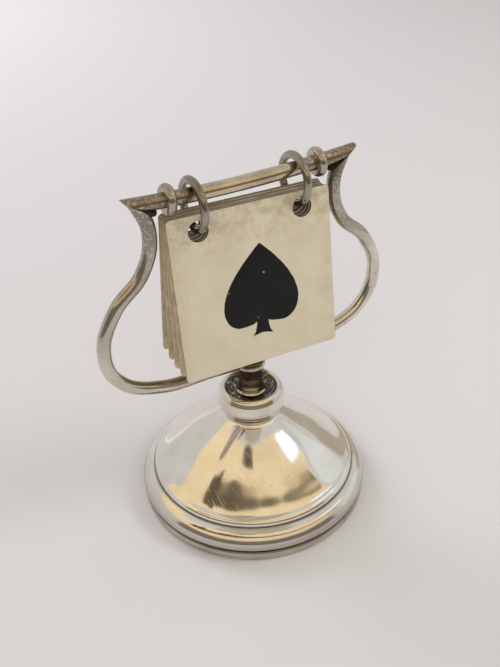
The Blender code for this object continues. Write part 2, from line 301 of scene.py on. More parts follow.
# The base's lower wall is painted darker towards the bottom: painted shade that dims the table's reflection
# there.
WALL_PAINTED_SHADE = {"axis": "Z", "start": 7.0, "end": 4.6, "amount": 0.36, "spread": 0.15}
WIRE_GRIME = {"axis": "Z", "start": 56.0, "end": 76.0, "amount": 0.55, "spread": 0.38}
BAR_GRIME = {"axis": "X", "start": 10.0, "end": 13.0, "amount": 0.6, "spread": 0.4}
BASE_SILVER = silver(
    "stamped_and_buffed_silver", pale="#F3F0EA", shade="#E4DED4", gloss=0.05, wear=0.08,
    grooves=(SHELL_EDGE_Z, SHOULDER_GROOVE_Z, COLLAR_GROOVE_Z), grime_and_shade=WALL_PAINTED_SHADE)
PLATE_SILVER = silver(
    "spun_silver_plate", pale="#D2CBC0", shade="#ACA498", gloss=0.12, wear=0.2, grooves=(PLATE_EDGE_Z,))
KNOP_SILVER = silver(
    "turned_and_buffed_silver", pale="#F0EBE2", shade="#DAD2C6", gloss=0.07, wear=0.2,
    grooves=(KNOP_GROOVE_Z,), dish=KNOP_DISH)
# The neck is seldom wiped, and the collar takes this darker silver as painted shade in the gap between the
# dome and the knop.
NECK_SILVER = silver(
    "turned_silver_seldom_wiped_and_shaded", pale="#DCD4C7", shade="#A89D8E", gloss=0.06, wear=0.3)
STOP_SILVER = silver(
    "turned_silver_stop_collar", pale="#C6BCAC", shade="#8F8577", gloss=0.08, wear=0.45)
WIRE_SILVER = silver(
    "drawn_silver_wire_handled", pale="#E0DBD1", shade="#B8B0A3", gloss=0.06, wear=0.35, grime_and_shade=WIRE_GRIME)
BAR_SILVER = silver(
    "drawn_silver_bar_rubbed", pale="#E4D8C2", shade="#B4A690", gloss=0.07, wear=0.45, grime_and_shade=BAR_GRIME)
RING_SILVER = silver(
    "bent_silver_ring_dulled", pale="#A8A297", shade="#7F796E", gloss=0.15, wear=0.35)
SOLDER = silver(
    "silver_solder_unpolished", pale="#4E463C", shade="#2F2922", gloss=0.34, wear=0.9)
print("silver finishes:", [m.name for m in bpy.data.materials if "silver" in m.name])

# %% [markdown]
# The leaves are celluloid, a cream plastic sheet that was rolled, punched and cut. Its patterns
# read a UV map in leaf widths, because brown stain gathers along the top and the sides whichever way
# a leaf hangs, and on the inner leaves the sides also carry painted shade. One helper says where a
# point lies on its leaf, and one scatters flecks at the middles of some random cells. Painted masks
# would also do, but these need no image.

# %% Places and flecks on a leaf
LEAF_WIDTH = 36.5
LEAF_HEIGHT = 36.2


def leaf_place(tree, flat):
    """How far a point is from the leaf's middle line, and how high, in leaf widths."""
    across, up, _ = add_node(tree, "ShaderNodeSeparateXYZ", {0: flat})
    offset = add_node(tree, "ShaderNodeMath", {0: across, 1: 0.5}, operation="SUBTRACT")[0]
    return add_node(tree, "ShaderNodeMath", {0: offset}, operation="ABSOLUTE")[0], up


def flecks(tree, place, scale, edge, chosen, most):
    """A mask of dots in some of many random cells."""
    cells = add_node(tree, "ShaderNodeTexVoronoi", {"Vector": place, "Scale": scale})
    dot = add_node(tree, "ShaderNodeMapRange", {0: cells["Distance"], 1: edge[0], 2: edge[1]})[0]
    some = add_node(tree, "ShaderNodeMapRange", {
        0: cells["Color"], 1: chosen[0], 2: chosen[1], 4: most})[0]
    return add_node(tree, "ShaderNodeMath", {0: dot, 1: some}, operation="MULTIPLY")[0]


print("leaf", LEAF_WIDTH, "by", LEAF_HEIGHT, "mm")

# %% [markdown]
# Old sheet is satin, clouded and browned where fingers and the rings rub it. The inner leaves are
# browned more at their sides, and that extra brown is painted shade where the leaves in front cover
# them. Three noises make its blotches, smudges and grain, each with a size in millimetres, a detail
# and a roughness. Each colour is laid over the last by its own mask, and each leaf shifts the
# pattern by its own number, so that no two are alike.

# %% Celluloid faces
BLOTCH = (8.0, 6.0, 0.6)
SMUDGE = (3.0, 4.0, 0.7)
GRAIN = (0.35, 2.0, 0.5)
LEAF_SHIFT = (3.7, 1.9)
GRAIN_BAND = (0.35, 0.75)
GRAIN_MOST = 0.2
TOP_STAIN_FROM = 0.66
SIDE_STAIN_FROM = 0.4
FRONT_SIDE_STAIN = 0.4
# On the inner leaves the brown at the sides is painted shade from the leaves in front, over stain.
INNER_SIDE_STAIN_AND_SHADE = 0.9
PATCH_BAND = (0.42, 0.72)
PATCH_MOST = 0.85
SPECK_SPACING_MM = 3.2
SPECK_EDGE = (0.06, 0.03)
SPECK_CHOSEN = (0.66, 0.74)
SPECK_MOST = 0.6
CREAM = "#D7CCB3"
DEEP_CREAM = "#C9BD9F"
GRAIN_CREAM = "#C0B28F"
STAIN_AND_SHADE_BROWN = "#8F7951"
SPECK_BROWN = "#6A5334"
WAVE_STRENGTH = 0.12
WAVE_DEPTH_MM = 0.04
FACE_SATIN = (0.4, 0.56)
CELLULOID_IOR = 1.5


def celluloid(name, number, side_stain_and_shade):
    material, tree = start_material(name)
    flat = add_node(tree, "ShaderNodeUVMap", uv_map="leaf")[0]
    shift = (LEAF_SHIFT[0] * number, LEAF_SHIFT[1] * number, 0)
    place = add_node(tree, "ShaderNodeMapping", {"Vector": flat, "Location": shift})[0]
    blotch, smudge, grain = [
        add_node(tree, "ShaderNodeTexNoise", {
            "Vector": place, "Scale": LEAF_WIDTH / size, "Detail": detail, "Roughness": rough})[0]
        for size, detail, rough in (BLOTCH, SMUDGE, GRAIN)]
    aside, up = leaf_place(tree, flat)
    near_top = add_node(tree, "ShaderNodeMapRange", {0: up, 1: TOP_STAIN_FROM, 2: 1.0})[0]
    near_side = add_node(tree, "ShaderNodeMapRange", {
        0: aside, 1: SIDE_STAIN_FROM, 2: 0.5, 4: side_stain_and_shade})[0]
    edge = add_node(tree, "ShaderNodeMath", {0: near_top, 1: near_side}, operation="MAXIMUM")[0]
    patchy = add_node(tree, "ShaderNodeMapRange", {
        0: smudge, 1: PATCH_BAND[0], 2: PATCH_BAND[1], 4: PATCH_MOST})[0]
    stain_and_shade = add_node(tree, "ShaderNodeMath", {0: edge, 1: patchy}, operation="MULTIPLY")[0]
    cloudy = add_node(tree, "ShaderNodeMapRange", {0: blotch, 1: NOISE_BAND[0], 2: NOISE_BAND[1]})[0]
    grainy = add_node(tree, "ShaderNodeMapRange", {
        0: grain, 1: GRAIN_BAND[0], 2: GRAIN_BAND[1], 4: GRAIN_MOST})[0]
    speck = flecks(tree, place, LEAF_WIDTH / SPECK_SPACING_MM, SPECK_EDGE, SPECK_CHOSEN, SPECK_MOST)
    tone = rgba(CREAM)
    layers = [(cloudy, DEEP_CREAM), (grainy, GRAIN_CREAM), (stain_and_shade, STAIN_AND_SHADE_BROWN), (speck, SPECK_BROWN)]
    for share, colour in layers:
        tone = add_node(tree, "ShaderNodeMix", {0: share, 6: tone, 7: rgba(colour)}, data_type="RGBA")[2]
    bump = add_node(tree, "ShaderNodeBump", {
        "Strength": WAVE_STRENGTH, "Distance": WAVE_DEPTH_MM * MM, "Height": blotch})[0]
    satin = add_node(tree, "ShaderNodeMapRange", {
        0: smudge, 1: NOISE_BAND[0], 2: NOISE_BAND[1], 3: FACE_SATIN[0], 4: FACE_SATIN[1]})[0]
    finish_material(tree, {"Base Color": tone, "Roughness": satin, "Normal": bump, "IOR": CELLULOID_IOR})
    return material


print("celluloid blotches", BLOTCH[0], "mm, grain", GRAIN[0], "mm")

# %% [markdown]
# Cut edges take up dirt and show the layers of the sheet as streaks. The top edges are darker,
# and the insides of the holes are darkest, with grime where the rings rub and painted shade
# inside the holes. A second material for the holes would do too, but the UV map already tells
# them apart: they lie below the top and away from the sides.

# %% Celluloid edges
STREAK_MM = 4.0
EDGE_DARK_FROM = 0.88
EDGE_DARK_MOST = 0.8
HOLES_ABOVE = 0.8
HOLES_BELOW = 0.98
HOLES_WITHIN = 0.42
CUT_BROWN = "#B9A17B"
STREAK_BROWN = "#9A845F"
TOP_BROWN = "#51483D"
# The colour inside the holes is painted shade, over grime where the rings rub.
HOLE_GRIME_AND_SHADE = "#2E271F"
CUT_ROUGHNESS = (0.45, 0.65)


def celluloid_edge(name):
    material, tree = start_material(name)
    flat = add_node(tree, "ShaderNodeUVMap", uv_map="leaf")[0]
    streak = add_node(tree, "ShaderNodeTexNoise", {
        "Vector": flat, "Scale": LEAF_WIDTH / STREAK_MM, "Detail": CLOUD_DETAIL})[0]
    streaky = add_node(tree, "ShaderNodeMapRange", {0: streak, 1: NARROW_BAND[0], 2: NARROW_BAND[1]})[0]
    aside, up = leaf_place(tree, flat)
    high = add_node(tree, "ShaderNodeMapRange", {0: up, 1: EDGE_DARK_FROM, 2: 1.0, 4: EDGE_DARK_MOST})[0]
    hole = add_node(tree, "ShaderNodeMath", {0: aside, 1: HOLES_WITHIN}, operation="LESS_THAN")[0]
    for limit, side in ((HOLES_ABOVE, "GREATER_THAN"), (HOLES_BELOW, "LESS_THAN")):
        inside = add_node(tree, "ShaderNodeMath", {0: up, 1: limit}, operation=side)[0]
        hole = add_node(tree, "ShaderNodeMath", {0: hole, 1: inside}, operation="MULTIPLY")[0]
    tone = rgba(CUT_BROWN)
    for share, colour in ((streaky, STREAK_BROWN), (high, TOP_BROWN), (hole, HOLE_GRIME_AND_SHADE)):
        tone = add_node(tree, "ShaderNodeMix", {0: share, 6: tone, 7: rgba(colour)}, data_type="RGBA")[2]
    rough = add_node(tree, "ShaderNodeMapRange", {
        0: streak, 1: NOISE_BAND[0], 2: NOISE_BAND[1], 3: CUT_ROUGHNESS[0], 4: CUT_ROUGHNESS[1]})[0]
    finish_material(tree, {"Base Color": tone, "Roughness": rough, "IOR": CELLULOID_IOR})
    return material


LEAF_EDGE = celluloid_edge("celluloid_cut_edge_browned")
print("edge finish:", LEAF_EDGE.name, "with streaks", STREAK_MM, "mm long")

# %% [markdown]
# Printing ink is black or red and a little worn, with a few chips where the sheet shows through.
# The chips could be cut out of the film, but at this size a mask of flecks looks the same.

# %% Printing ink
INK_CLOUD_MM = 5.0
CHIP_SPACING_MM = 1.9
CHIP_EDGE = (0.15, 0.11)
CHIP_CHOSEN = (0.68, 0.7)
CHIP_MOST = 0.7
CHIP_CREAM = "#B9AD92"
INK_SATIN = (0.5, 0.6)
INK_SPECULAR = 0.25


def printing_ink(name, deep, worn):
    material, tree = start_material(name)
    place = add_node(tree, "ShaderNodeTexCoord")["Object"]
    cloud = add_node(tree, "ShaderNodeTexNoise", {
        "Vector": place, "Scale": per_mm(INK_CLOUD_MM), "Detail": CLOUD_DETAIL})[0]
    cloudy = add_node(tree, "ShaderNodeMapRange", {0: cloud, 1: CLOUD_BAND[0], 2: CLOUD_BAND[1]})[0]
    chip = flecks(tree, place, per_mm(CHIP_SPACING_MM), CHIP_EDGE, CHIP_CHOSEN, CHIP_MOST)
    tone = rgba(deep)
    for share, colour in ((cloudy, worn), (chip, CHIP_CREAM)):
        tone = add_node(tree, "ShaderNodeMix", {0: share, 6: tone, 7: rgba(colour)}, data_type="RGBA")[2]
    satin = add_node(tree, "ShaderNodeMapRange", {
        0: cloud, 1: NOISE_BAND[0], 2: NOISE_BAND[1], 3: INK_SATIN[0], 4: INK_SATIN[1]})[0]
    finish_material(tree, {"Base Color": tone, "Roughness": satin, "Specular IOR Level": INK_SPECULAR})
    return material


BLACK_INK = printing_ink("black_printing_ink", deep="#0E0F10", worn="#17191A")
RED_INK = printing_ink("red_printing_ink", deep="#8E1B18", worn="#A42A22")
print("inks:", BLACK_INK.name, RED_INK.name)

# %% [markdown]
# Three pieces stay out of sight inside the base: a cast filling of pitch, a steel rod and its
# nut. Under the plate is a green baize pad. They keep their own honest finishes, because the
# model may be opened or turned over. The rod and the nut are used as they come, and the filling
# is made again later, to follow the inside of the shell.

# %% Pitch, steel and baize
ROUGHNESS_SPREAD = 0.08
GRAIN_STRENGTH = 0.6


def rough_solid(name, low, high, grain_mm, rough, metallic, depth_mm):
    material, tree = start_material(name)
    place = add_node(tree, "ShaderNodeTexCoord")["Object"]
    grain = add_node(tree, "ShaderNodeTexNoise", {
        "Vector": place, "Scale": per_mm(grain_mm), "Detail": FINE_DETAIL})[0]
    share = add_node(tree, "ShaderNodeMapRange", {0: grain, 1: NARROW_BAND[0], 2: NARROW_BAND[1]})[0]
    tone = add_node(tree, "ShaderNodeMix", {0: share, 6: rgba(low), 7: rgba(high)}, data_type="RGBA")[2]
    coarse = add_node(tree, "ShaderNodeMapRange", {
        0: grain, 1: NOISE_BAND[0], 2: NOISE_BAND[1],
        3: rough - ROUGHNESS_SPREAD, 4: rough + ROUGHNESS_SPREAD})[0]
    bump = add_node(tree, "ShaderNodeBump", {
        "Strength": GRAIN_STRENGTH, "Distance": depth_mm * MM, "Height": grain})[0]
    finish_material(tree, {"Base Color": tone, "Roughness": coarse, "Normal": bump, "Metallic": metallic})
    return material


PITCH = rough_solid(
    "cast_pitch_filling", low="#2B2621", high="#40372E", grain_mm=1.6, rough=0.75, metallic=0.0, depth_mm=0.2)
STEEL = rough_solid(
    "drawn_steel_rod_plain", low="#7F7F7C", high="#999894", grain_mm=0.5, rough=0.36, metallic=1.0,
    depth_mm=0.02)
BAIZE = rough_solid(
    "woven_green_baize", low="#25402D", high="#355840", grain_mm=0.45, rough=0.9, metallic=0.0, depth_mm=0.15)
for node_name in ("stem_rod", "stem_nut"):
    node_mesh = frame["nodes"][node_name].data
    node_mesh.materials.clear()
    node_mesh.materials.append(STEEL)
print("hidden nodes keep their solids: stem_rod, stem_nut")

# %% [markdown]
# Most pieces start as a curve, a profile or a small node tree, which is then evaluated. One
# helper bakes the result to a plain mesh at the origin, one welds it and turns its faces
# outwards, and one hands the finished piece to the body and the node that it stands for.

# %% Baking and handing over
CREASE = math.radians(38)
WELD = 0.002 * MM


def add_object(name, data):
    item = bpy.data.objects.new(name, data)
    bpy.context.scene.collection.objects.link(item)
    return item


def bake(host):
    bpy.context.view_layer.update()
    name = host.name
    evaluated = host.evaluated_get(bpy.context.evaluated_depsgraph_get())
    mesh = bpy.data.meshes.new_from_object(evaluated)
    mesh.transform(host.matrix_world)
    bpy.data.objects.remove(host, do_unlink=True)
    mesh.name = name
    return add_object(name, mesh)


def tidy_faces(piece):
    shape = bmesh.new()
    shape.from_mesh(piece.data)
    bmesh.ops.remove_doubles(shape, verts=shape.verts, dist=WELD)
    bmesh.ops.recalc_face_normals(shape, faces=shape.faces)
    shape.to_mesh(piece.data)
    shape.free()
    piece.data.polygons.foreach_set("use_smooth", [True] * len(piece.data.polygons))
    piece.data.set_sharp_from_angle(angle=CREASE)


def dress(piece, material):
    piece.data.materials.clear()
    piece.data.materials.append(material)


def hand_over(piece, body, slot, *nodes):
    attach(piece, body)
    if nodes:
        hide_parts(*nodes)
    print(piece.name, "on", body, "for", nodes or "no node", "faces", len(piece.data.polygons))


print("edges sharper than", round(math.degrees(CREASE)), "degrees stay creased")

# %% [markdown]
# The base, collar, knop and neck were turned or spun on a lathe, so each is one outline swung
# round the upright axis. A Screw modifier does that from a line of points. The outline passes
# through a few measured points on a flowing curve, which keeps the reflections unbroken, as
# they are on spun sheet. A stepped outline with arcs would also do, but it would crease them.

# %% Turning helper
TURN_STEPS = 160
FLOW_STEPS = 6


def flowing(points, steps=FLOW_STEPS):
    """A smooth curve that passes through every (radius, height) point."""
    ends = [points[0]] + list(points) + [points[-1]]
    line = []
    for i in range(1, len(ends) - 2):
        a, b, c, d = (Vector(ends[i + k]) for k in (-1, 0, 1, 2))
        for step in range(steps):
            t = step / steps
            line.append(tuple(0.5 * (2 * b + (c - a) * t + (2 * a - 5 * b + 4 * c - d) * t ** 2
                                     + (3 * b - a - 3 * c + d) * t ** 3)))
    return line + [tuple(points[-1])]


def turned(name, outline, material, steps=TURN_STEPS, closed=True):
    """A piece turned round Z from (radius, height) points in millimetres."""
    mesh = bpy.data.meshes.new(name)
    edges = [(i, i + 1) for i in range(len(outline) - 1)]
    if closed:
        edges.append((len(outline) - 1, 0))
    mesh.from_pydata([(r * MM, 0, z * MM) for r, z in outline], edges, [])
    host = add_object(name, mesh)
    screw = host.modifiers.new("turn", "SCREW")
    screw.steps = steps
    screw.render_steps = steps
    screw.use_merge_vertices = True
    screw.merge_threshold = WELD
    piece = bake(host)
    tidy_faces(piece)
    dress(piece, material)
    return piece


print("turned pieces have", TURN_STEPS, "steps round")

# %% [markdown]
# The base is one sheet of silver, stamped to a dome with a stepped edge, over a lower plate.
# A dark line of painted shade and tarnish shows where they meet, and a sharp groove parts the
# rounded edge from the step.
# The sheet is made as an outer line and the same line set in by the sheet's thickness, closed
# at the rim and at the hole for the rod.

# %% Base shell and plate
SHEET = 0.7
ROD_HOLE = 1.8
DOME_TOP = 22.1
WALL_OUTLINE = [
    (26.9, 2.9), (27.35, 3.1), (27.55, 3.5), (27.6, 4.2), (27.4, 5.1), (26.8, 6.0),
    (25.9, 6.75), (25.2, 7.12), (24.7, 7.38),
]
STEP_OUTLINE = [
    (24.42, 7.75), (24.38, 8.15), (24.2, 8.55), (23.85, 8.9), (23.3, 9.22), (22.7, 9.55), (21.5, 10.45),
    (19.0, 12.5), (15.5, 15.3), (11.5, 18.15), (9.5, 19.55), (8.0, 20.55), (7.0, 21.18), (6.4, 21.55),
    (6.0, 21.95), (5.6, DOME_TOP),
]
PLATE_LINE = [
    (0, 1.0), (24.2, 1.0), (24.2, 0.12), (24.35, 0.0), (26.7, 0.0), (27.05, 0.1), (27.35, 0.4), (27.5, 0.9),
    (27.5, 1.8), (27.42, 2.15), (27.2, 2.4), (26.7, 2.57), (26.4, 2.6), (0, 2.6),
]


def set_in(line, depth):
    """The line moved inwards and reversed, so that it closes the sheet."""
    inner = []
    for i, (r, z) in enumerate(line):
        before = Vector(line[max(i - 1, 0)])
        after = Vector(line[min(i + 1, len(line) - 1)])
        along = (after - before).normalized()
        inner.append((max(r - along.y * depth, ROD_HOLE), z + along.x * depth))
    return inner[::-1]


shell_line = flowing(WALL_OUTLINE) + flowing(STEP_OUTLINE) + [(ROD_HOLE, DOME_TOP)]
base_shell = turned("base_shell_silver", shell_line + set_in(shell_line, SHEET), BASE_SILVER)
hand_over(base_shell, "stand", "polished_silver", "base_shell")
base_plate = turned("base_plate_silver", PLATE_LINE, PLATE_SILVER, closed=False)
hand_over(base_plate, "stand", "polished_silver", "base_plate")

# %% [markdown]
# Pitch was poured hot into the upturned shell, so the filling has the shape of its inside. A
# bore passes the rod, and a pocket below takes the nut. These could be cut from a solid, but
# one turned outline has them already.

# %% Filling
FILLING_LINE = [
    (26.2, 3.0), (26.2, 4.4), (25.4, 5.2), (23.8, 6.2), (22.9, 7.3), (21.6, 8.6), (18.0, 11.5), (14.5, 14.3),
    (10.6, 17.1), (7.4, 19.3), (5.2, 20.4),
]
NUT_POCKET_RADIUS = 3.5
NUT_POCKET_TOP = 5.9
filling_inside = [
    (ROD_HOLE, FILLING_LINE[-1][1]), (ROD_HOLE, NUT_POCKET_TOP),
    (NUT_POCKET_RADIUS, NUT_POCKET_TOP), (NUT_POCKET_RADIUS, FILLING_LINE[0][1]),
]
filling = turned("base_filling_pitch", FILLING_LINE + filling_inside, PITCH)
hand_over(filling, "stand", "cast_pitch_loading", "base_loading")

# %% [markdown]
# The stem is a thin collar, a barrel-shaped knop with a dished top, and a waisted neck that
# rises out of the dish. On the bench these would slide on the rod one by one, and they stay
# three pieces here, so that each has its own finish. The neck runs up into the wire, where the
# two are soldered.

# %% Collar, knop and neck
COLLAR_Z = 22.4
COLLAR_HEIGHT = 0.9
COLLAR_LINE = [(5.2, 0.0), (6.4, 0.0), (6.75, 0.15), (6.9, 0.45), (6.75, 0.75), (6.4, 0.9), (5.2, 0.9)]
COLLAR_FLOW_STEPS = 4
KNOP_Z = 23.6
KNOP_LINE = [
    (5.6, 0.0), (6.6, 0.0), (7.1, 0.4), (7.5, 0.8), (7.85, 1.7), (8.0, 2.6), (7.98, 3.6), (7.85, 4.6),
    (7.4, 5.5), (7.0, 5.95), (6.7, 6.14), (6.4, 6.1), (6.1, 5.85), (5.7, 5.4), (5.2, 5.05), (4.6, 5.0),
]
NECK_Z = 28.9
NECK_BORE_DEPTH = 4.9
NECK_LINE = [
    (3.6, 0.0), (3.3, 0.35), (3.1, 0.8), (2.85, 1.6), (2.75, 2.4), (2.7, 3.6), (2.85, 4.8), (3.15, 6.0),
    (3.48, 7.1), (3.3, 7.6), (2.6, 7.9), (0, 8.1),
]
NECK_FLOW_STEPS = 5
NECK_TURN_STEPS = 96


def lifted(line, height):
    return [(r, z + height) for r, z in line]


collar_line = [(ROD_HOLE, 0)] + flowing(COLLAR_LINE, COLLAR_FLOW_STEPS) + [(ROD_HOLE, COLLAR_HEIGHT)]
# The collar's darker silver is painted shade in the gap under the knop, with some tarnish.
collar = turned("knop_collar_silver", lifted(collar_line, COLLAR_Z), NECK_SILVER)
hand_over(collar, "stand", "polished_silver", "knop_collar")
knop_line = [(ROD_HOLE, 0)] + flowing(KNOP_LINE) + [(ROD_HOLE, KNOP_LINE[-1][1])]
knop = turned("knop_silver", lifted(knop_line, KNOP_Z), KNOP_SILVER)
hand_over(knop, "stand", "polished_silver", "knop")
bore = [(0, NECK_BORE_DEPTH), (ROD_HOLE, NECK_BORE_DEPTH), (ROD_HOLE, 0)]
neck_line = lifted(bore + flowing(NECK_LINE, NECK_FLOW_STEPS), NECK_Z)
neck = turned("neck_silver", neck_line, NECK_SILVER, NECK_TURN_STEPS, closed=False)
hand_over(neck, "stand", "polished_silver", "neck")

# %% [markdown]
# Wire is drawn through a round die and then bent, so a round section that follows a path is
# just what it is. One Geometry Nodes tree sweeps that section along any curve: the lyre, the
# bar, the rings and the beads of solder. The radius of each curve point thins or thickens it.

# %% The drawn wire tree
def build_wire_tree():
    tree = bpy.data.node_groups.new("drawn wire", "GeometryNodeTree")
    sockets = [("Path", "Geometry"), ("Wire Radius", "Float"), ("Sides", "Int"), ("Finish", "Material")]
    for name, kind in sockets:
        tree.interface.new_socket(name, in_out="INPUT", socket_type="NodeSocket" + kind)
    tree.interface.new_socket("Wire", in_out="OUTPUT", socket_type="NodeSocketGeometry")
    given = add_node(tree, "NodeGroupInput")
    section = add_node(tree, "GeometryNodeCurvePrimitiveCircle", {
        "Resolution": given["Sides"], "Radius": given["Wire Radius"]})["Curve"]
    thickness = add_node(tree, "GeometryNodeInputRadius")[0]
    swept = add_node(tree, "GeometryNodeCurveToMesh", {
        "Curve": given["Path"], "Profile Curve": section, "Scale": thickness, "Fill Caps": True})["Mesh"]
    smooth = add_node(tree, "GeometryNodeSetShadeSmooth", {"Geometry": swept})[0]
    real = add_node(tree, "GeometryNodeRealizeInstances", {"Geometry": smooth})[0]
    dressed = add_node(tree, "GeometryNodeSetMaterial", {"Geometry": real, "Material": given["Finish"]})[0]
    add_node(tree, "NodeGroupOutput", {"Wire": dressed})
    return tree


WIRE_TREE = build_wire_tree()
print("wire tree inputs:", [s.name for s in WIRE_TREE.interface.items_tree if s.in_out == "INPUT"])

# %% [markdown]
# A helper draws the path as a curve, sets the tree's inputs by their identifiers, and bakes the
# swept wire. A bent path flows smoothly through few points. Any other path keeps every point.

# %% Wire helper
CURVE_STEPS = 14
WIRE_SIDES = 28


def wire(name, points, radius_mm, material, sides=WIRE_SIDES, cyclic=False, bent=False, swell=None):
    """A wire through points in millimetres; swell gives each point's share of the radius."""
    curve = bpy.data.curves.new(name, "CURVE")
    curve.dimensions = "3D"
    curve.resolution_u = CURVE_STEPS
    spline = curve.splines.new("BEZIER" if bent else "POLY")
    knots = spline.bezier_points if bent else spline.points
    knots.add(len(points) - 1)
    for i, (knot, point) in enumerate(zip(knots, points)):
        place = Vector(point) * MM
        knot.co = place if bent else (*place, 1)
        knot.radius = swell[i] if swell else 1.0
        if bent:
            knot.handle_left_type = "AUTO"
            knot.handle_right_type = "AUTO"
    spline.use_cyclic_u = cyclic
    host = add_object(name, curve)
    modifier = host.modifiers.new("wire", "NODES")
    modifier.node_group = WIRE_TREE
    values = {"Wire Radius": radius_mm * MM, "Sides": sides, "Finish": material}
    for socket in WIRE_TREE.interface.items_tree:
        if socket.in_out == "INPUT" and socket.name in values:
            modifier[socket.identifier] = values[socket.name]
    piece = bake(host)
    tidy_faces(piece)
    dress(piece, material)
    return piece


print("bent wire has", CURVE_STEPS, "steps between points and", WIRE_SIDES, "sides")

# %% [markdown]
# The lyre is one wire and the bar is another, bowed a little. At each end they are mitred and
# soldered, which leaves a horn with a blunt tip. Cuts on the mitre plane through both tubes
# make that joint. A boolean would do it too, but a cut keeps the round faces clean.

# %% Lyre and bar
WIRE_RADIUS = 1.5
LYRE_HALF = [
    (25.8, 85.0), (23.3, 81.1), (21.5, 75.0), (23.7, 67.2), (30.6, 60.0), (33.9, 51.0),
    (31.2, 42.8), (22.5, 38.1), (10.0, 37.3),
]
LYRE_SADDLE_Z = 37.1
BAR_RADIUS = 1.55
BAR_MIDDLE_Z = 80.8
BAR_BOW = 0.75
BAR_BOW_SPAN = 22.0
BAR_HALF_LENGTH = 27.8
BAR_SPANS = 48
MITRE_X = 23.3
MITRE_Z = 81.2
MITRE_ANGLE = math.radians(31)
HORN_X = 26.4
HORN_ZONE_X = 14.0
HORN_ZONE_Z = 76.0


def bar_height(x):
    return BAR_MIDDLE_Z + BAR_BOW * (x / BAR_BOW_SPAN) ** 2


def slice_off(piece, side, place, outward):
    """Cut away what lies outward of a plane near one horn, and close the cut."""
    shape = bmesh.new()
    shape.from_mesh(piece.data)
    near = [f for f in shape.faces
            if all(v.co.x * side > HORN_ZONE_X * MM and v.co.z > HORN_ZONE_Z * MM for v in f.verts)]
    parts = set(near)
    for face in near:
        parts.update(face.edges)
        parts.update(face.verts)
    bmesh.ops.bisect_plane(shape, geom=list(parts), plane_co=place * MM, plane_no=outward, clear_outer=True)
    bmesh.ops.holes_fill(shape, edges=[e for e in shape.edges if e.is_boundary], sides=0)
    shape.to_mesh(piece.data)
    shape.free()
    tidy_faces(piece)


right_half = [(x, 0, z) for x, z in LYRE_HALF]
left_half = [(-x, 0, z) for x, z in reversed(LYRE_HALF)]
lyre_path = right_half + [(0, 0, LYRE_SADDLE_Z)] + left_half
lyre = wire("lyre_wire_silver", lyre_path, WIRE_RADIUS, WIRE_SILVER, bent=True)
bar_steps = [BAR_HALF_LENGTH * (2 * i / BAR_SPANS - 1) for i in range(BAR_SPANS + 1)]
bar = wire("crossbar_silver", [(x, 0, bar_height(x)) for x in bar_steps], BAR_RADIUS, BAR_SILVER)
for side in (-1, 1):
    upward = Vector((-side * math.sin(MITRE_ANGLE), 0, math.cos(MITRE_ANGLE)))
    corner = Vector((side * MITRE_X, 0, MITRE_Z))
    tip = Vector((side * HORN_X, 0, MITRE_Z))
    slice_off(lyre, side, corner, upward)
    slice_off(bar, side, corner, -upward)
    slice_off(lyre, side, tip, Vector((side, 0, 0)))
    slice_off(bar, side, tip, Vector((side, 0, 0)))
hand_over(lyre, "stand", "polished_silver", "lyre_wire")
hand_over(bar, "stand", "polished_silver", "crossbar")

# %% [markdown]
# Solder shows as a dull, slightly raised bead round each mitre, thickest in the inner corner,
# and as a fillet where the wire sits on the neck. The bead follows the ellipse in which the
# mitre plane cuts the bar, and stops short of the horn's tip. Sculpting would do too, but a
# bead of wire keeps to the joint by itself.

# %% Solder
HANDS = ((-1, "left"), (1, "right"))
BEAD_RADIUS = 0.5
BEAD_POINTS = 48
BEAD_SIDES = 10
BEAD_TIP = 0.2
BEAD_CORNER = 1.5
BEAD_TAPER = 4
FILLET_RADIUS = 0.45
FILLET_LONG = 2.7
FILLET_SHORT = 1.75
FILLET_DROP = 0.6


def full_circle(count):
    return [math.tau * i / count for i in range(count)]


def bar_slope(x):
    return math.atan(2 * BAR_BOW * x / BAR_BOW_SPAN ** 2)


def mitre_bead(side, word):
    long_half = BAR_RADIUS / math.sin(MITRE_ANGLE - bar_slope(MITRE_X))
    reach = (HORN_X - MITRE_X - BEAD_RADIUS) / math.cos(MITRE_ANGLE)
    path = []
    swell = []
    for angle in full_circle(BEAD_POINTS):
        along = min(long_half * math.cos(angle), reach)
        x = MITRE_X + along * math.cos(MITRE_ANGLE)
        path.append((side * x, BAR_RADIUS * math.sin(angle), MITRE_Z + along * math.sin(MITRE_ANGLE)))
        swell.append(BEAD_TIP + BEAD_CORNER * ((1 - math.cos(angle)) / 2) ** BEAD_TAPER)
    return wire(word + "_mitre_solder", path, BEAD_RADIUS, SOLDER, BEAD_SIDES, cyclic=True, swell=swell)


for side, word in HANDS:
    hand_over(mitre_bead(side, word), "stand", "polished_silver")
fillet_z = LYRE_SADDLE_Z - FILLET_DROP
fillet_path = [
    (FILLET_LONG * math.cos(a), FILLET_SHORT * math.sin(a), fillet_z) for a in full_circle(BEAD_POINTS)]
fillet = wire("saddle_solder", fillet_path, FILLET_RADIUS, SOLDER, BEAD_SIDES, cyclic=True)
hand_over(fillet, "stand", "polished_silver")

# %% [markdown]
# Two stop collars, turned with a round rim, keep the rings from sliding out along the bar. They
# are turned upright and then laid along the bar's slope, so the same helper serves them.

